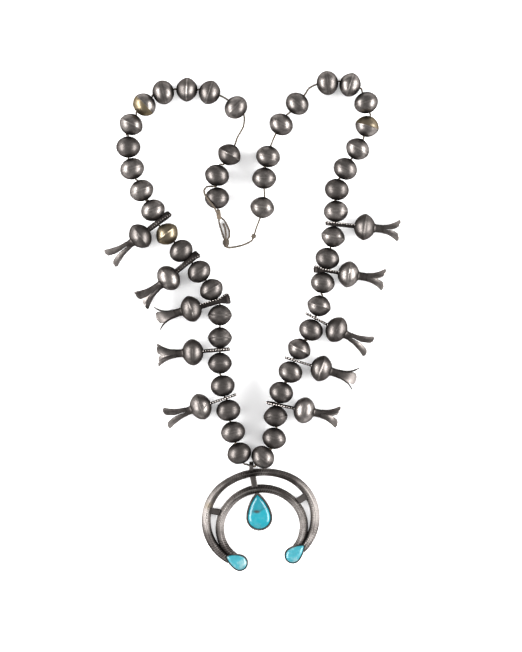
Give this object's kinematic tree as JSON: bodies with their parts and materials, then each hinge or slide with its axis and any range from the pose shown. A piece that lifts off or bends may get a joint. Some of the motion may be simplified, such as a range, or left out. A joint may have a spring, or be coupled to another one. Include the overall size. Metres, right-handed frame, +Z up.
{
  "type": "squash blossom necklace",
  "caption": "Silver string necklace of hollow beads and squash blossoms, with a double crescent pendant set with turquoise cabochons, lying flat on its cord.",
  "frame": {"origin": "centre of the bounding box's bottom face; the necklace lies on the floor at z = 0", "axes": "+Z up from the floor, +Y from the pendant towards the closure side, +X to the right as seen from above with the pendant nearest"},
  "size_m": [0.1568, 0.2656, 0.0142],
  "materials": {
    "silver": "satin, darkened silver, brighter on the high places",
    "turquoise": "polished",
    "cord": "twisted fibre"
  },
  "bodies": {
    "root": {"beads_left": "silver", "beads_right": "silver", "blossom_left_1": "silver", "blossom_left_2": "silver", "blossom_left_3": "silver", "blossom_left_4": "silver", "blossom_left_5": "silver", "blossom_right_1": "silver", "blossom_right_2": "silver", "blossom_right_3": "silver", "blossom_right_4": "silver", "blossom_right_5": "silver", "naja": "silver", "stone_drop": "turquoise", "stone_left": "turquoise", "stone_right": "turquoise", "thread_left": "cord", "thread_right": "cord", "loop_wrap": "cord", "closure_loop": "cord", "loop_knot": "cord", "tie_cord": "cord", "tie_knot": "cord", "cord_tail": "cord"}
  },
  "joints": []
}
